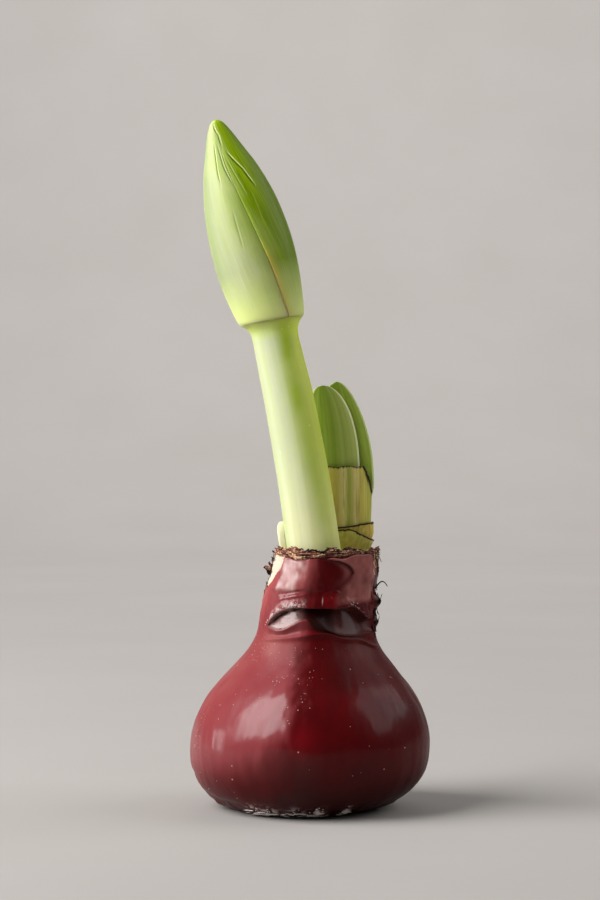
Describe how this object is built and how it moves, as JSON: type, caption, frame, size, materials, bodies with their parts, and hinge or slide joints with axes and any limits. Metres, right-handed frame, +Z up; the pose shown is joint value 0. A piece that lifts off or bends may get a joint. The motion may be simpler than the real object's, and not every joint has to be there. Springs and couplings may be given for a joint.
{
  "type": "amaryllis bulb",
  "caption": "Wax-dipped amaryllis bulb standing upright, with a leaning flower stalk, a closed bud and a short shoot of leaves in their cut sheath.",
  "frame": {"origin": "on the surface the bulb stands on, under the middle of the bulb", "axes": "+Z up, -Y towards the bulb's front (the side with the fold in the neck and the bud's seam), +X to the right seen from the front; the bud leans to -X"},
  "size_m": [0.0932, 0.0905, 0.2665],
  "materials": {
    "wax": "glossy dipped paraffin wax, deep crimson",
    "bulb_flesh": "matt cut bulb flesh, pale straw",
    "dry_skin": "torn papery brown skin",
    "stalk": "smooth fleshy stalk, cream to yellow-green",
    "bract": "finely veined bud bract, satin yellow-green",
    "leaf": "young strap leaf, satin mid-green",
    "sheath": "drying cut sheath, olive to tan",
    "scale": "fleshy scale, olive green with a brown edge",
    "pale_scale": "pale fleshy scale, cream green",
    "dry_thread": "shrivelled dark thread of dry skin"
  },
  "bodies": {
    "root": {"wax_coat": "wax", "bulb": "bulb_flesh", "dry_scale": "dry_skin", "flower_stalk": "stalk", "bract_left": "bract", "bract_right": "bract", "leaf_front": "leaf", "leaf_back": "leaf", "leaf_sheath": "sheath", "inner_scale": "scale", "outer_scale": "scale", "beside_scale": "pale_scale", "dry_thread": "dry_thread"}
  },
  "joints": []
}
